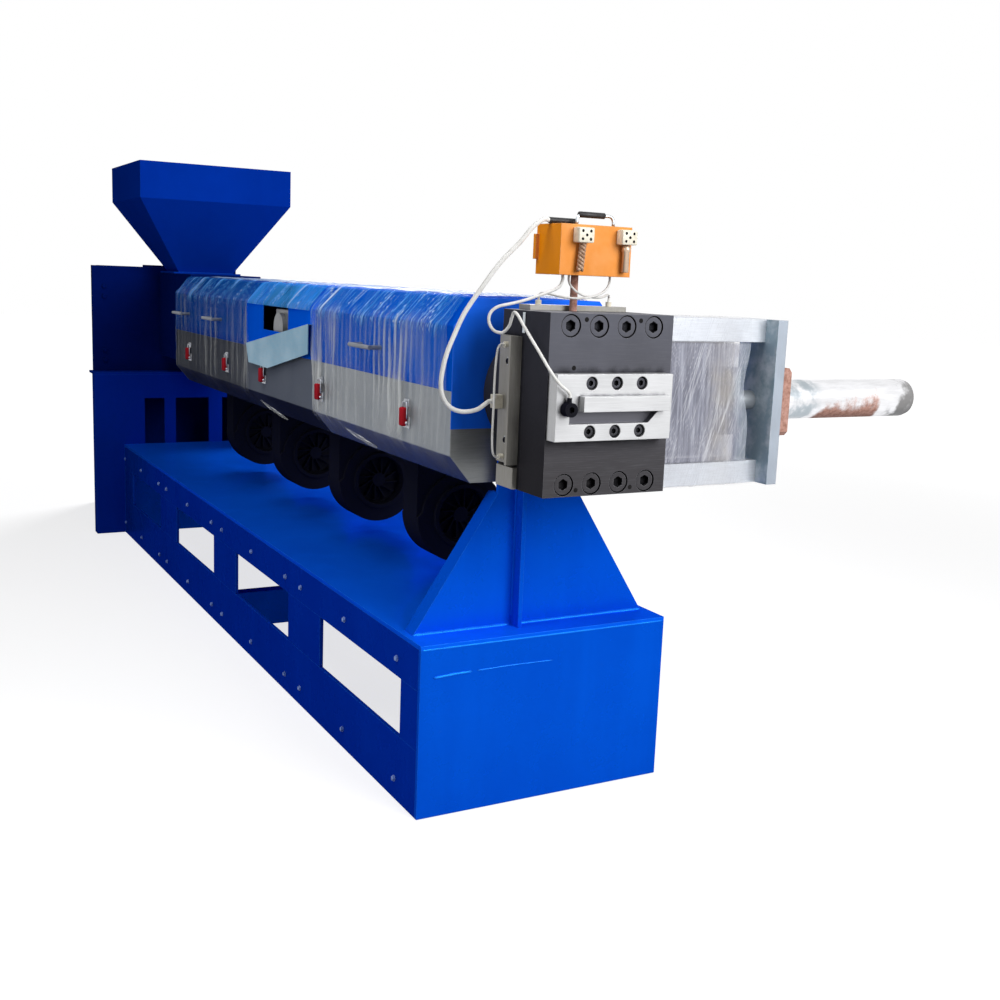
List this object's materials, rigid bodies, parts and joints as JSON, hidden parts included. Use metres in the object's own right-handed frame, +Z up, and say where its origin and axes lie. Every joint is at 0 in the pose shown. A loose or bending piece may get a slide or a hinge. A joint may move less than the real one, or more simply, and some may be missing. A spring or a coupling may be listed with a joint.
{
  "type": "plastic pelletizing extruder",
  "caption": "Recycling extruder: welded base, gearbox stand, hopper, heated barrel under guard covers, cooling blowers, and a slot die with a slide screen changer and terminal box.",
  "frame": {"origin": "on the floor, under the middle cross member, at the middle of the base and on the screw's centre plane", "axes": "+X along the screw from the gearbox to the die, +Y to the screen changer's cylinder, +Z up"},
  "size_m": [5.251, 1.742, 1.986],
  "materials": {
    "blue_paint": "gloss enamel",
    "navy_paint": "gloss enamel",
    "cover_blue": "gloss enamel under stretch film",
    "stainless": "brushed sheet",
    "machined_steel": "fine milled",
    "black_oxide": "black oxide, oiled",
    "black_paint": "satin black",
    "latch_red": "moulded red grip on a steel latch",
    "ceramic": "glazed ceramic",
    "changer_steel": "oiled bar under film",
    "rusty_steel": "rust on bare steel",
    "orange_paint": "satin enamel",
    "black_plastic": "moulded",
    "lead_sleeve": "glass fibre sleeve"
  },
  "bodies": {
    "root": {"base_cross_members": "blue_paint", "base_near_rails": "blue_paint", "base_near_posts": "blue_paint", "base_far_rails": "blue_paint", "base_far_posts": "blue_paint", "base_end_panels": "blue_paint", "base_deck": "blue_paint", "front_support": "blue_paint", "stand_front": "blue_paint", "stand_side_walls": "blue_paint", "stand_rear_wall": "blue_paint", "stand_top_plate": "blue_paint", "gearbox_housing": "navy_paint", "gearbox_lid": "navy_paint", "gearbox_output_cover": "navy_paint", "gearbox_input_shaft": "machined_steel", "feed_block": "blue_paint", "feed_screw": "machined_steel", "hopper": "blue_paint", "barrel": "black_oxide", "cover_upper_front": "cover_blue", "cover_upper_middle": "cover_blue", "cover_upper_rear": "cover_blue", "cover_lower_front": "stainless", "cover_lower_middle": "stainless", "cover_lower_rear": "stainless", "cover_end_plates": "cover_blue", "cover_handles": "stainless", "cover_latches": "latch_red", "vent_port": "stainless", "vent_plate": "stainless", "blower_1": "black_paint", "blower_2": "black_paint", "blower_3": "black_paint", "blower_4": "black_paint", "die_rear_block": "black_oxide", "die_front_block": "black_oxide", "die_screws": "black_oxide", "die_plate": "machined_steel", "die_sensor": "black_oxide", "plate_heater": "stainless", "heater_terminals": "ceramic", "changer_bars": "changer_steel", "changer_slide": "changer_steel", "changer_end_plate": "changer_steel", "changer_flange": "rusty_steel", "changer_tube": "rusty_steel", "terminal_box": "orange_paint", "box_post": "rusty_steel", "box_handle": "black_plastic", "box_plugs": "ceramic", "box_gland": "black_plastic", "lead_heater": "lead_sleeve", "lead_jumper": "lead_sleeve", "lead_sensor": "lead_sleeve", "lead_top_near": "lead_sleeve", "lead_top_far": "lead_sleeve"}
  },
  "joints": []
}
